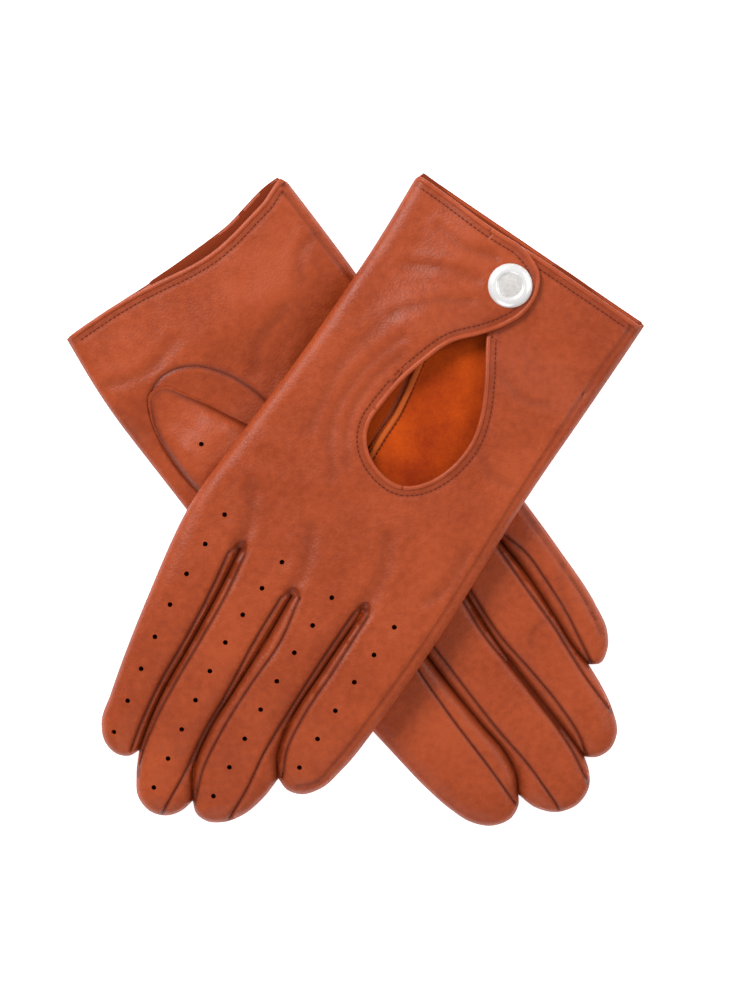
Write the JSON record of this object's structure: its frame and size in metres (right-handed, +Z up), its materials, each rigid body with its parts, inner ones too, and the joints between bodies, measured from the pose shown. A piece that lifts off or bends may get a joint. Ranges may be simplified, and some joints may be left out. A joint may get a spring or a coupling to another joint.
{
  "type": "pair of driving gloves",
  "caption": "Pair of unlined leather driving gloves with keyhole backs, press-stud tabs and perforated fingers, laid crossed.",
  "frame": {"origin": "under the middle of the crossed pair, on the surface that it lies on", "axes": "+Y from the fingertips towards the cuffs, +X to the right seen from above, +Z up"},
  "size_m": [0.1956, 0.2209, 0.0202],
  "materials": {
    "leather": "satin",
    "leather_edging": "satin",
    "suede": "matte",
    "thread": "satin",
    "stud_metal": "satin",
    "cap_chrome": "polished"
  },
  "bodies": {
    "right_glove": {"right_back": "leather", "right_palm": "leather", "right_index_fourchette": "leather", "right_middle_fourchette": "leather", "right_ring_fourchette": "leather", "right_thumb": "leather", "right_cuff_edging": "leather_edging", "right_keyhole_edging": "leather_edging", "right_cuff_stitching": "thread", "right_stud": "stud_metal", "right_stud_post": "stud_metal"},
    "right_tab_flap": {"right_tab": "leather", "right_tab_lining": "suede", "right_tab_edging": "leather_edging", "right_tab_stitching": "thread", "right_socket": "stud_metal", "right_cap": "cap_chrome"},
    "left_glove": {"left_back": "leather", "left_palm": "leather", "left_index_fourchette": "leather", "left_middle_fourchette": "leather", "left_ring_fourchette": "leather", "left_thumb": "leather", "left_cuff_edging": "leather_edging", "left_keyhole_edging": "leather_edging", "left_cuff_stitching": "thread", "left_stud": "stud_metal", "left_stud_post": "stud_metal"},
    "left_tab_flap": {"left_tab": "leather", "left_tab_lining": "suede", "left_tab_edging": "leather_edging", "left_tab_stitching": "thread", "left_socket": "stud_metal", "left_cap": "cap_chrome"}
  },
  "joints": [
    {"name": "left_glove_lift", "type": "slide", "parent": "right_glove", "child": "left_glove", "axis": [0, 0, 1], "range_m": [0, 0.12]},
    {"name": "left_tab_hinge", "type": "hinge", "parent": "left_glove", "child": "left_tab_flap", "pos_m": [0.03839, 0.07928, 0.0181], "axis": [-0.5402, -0.8415, 0], "range_deg": [0, 110]},
    {"name": "right_tab_hinge", "type": "hinge", "parent": "right_glove", "child": "right_tab_flap", "pos_m": [-0.06216, 0.06164, 0.0023], "axis": [-0.5793, 0.8151, 0], "range_deg": [0, 110]}
  ]
}
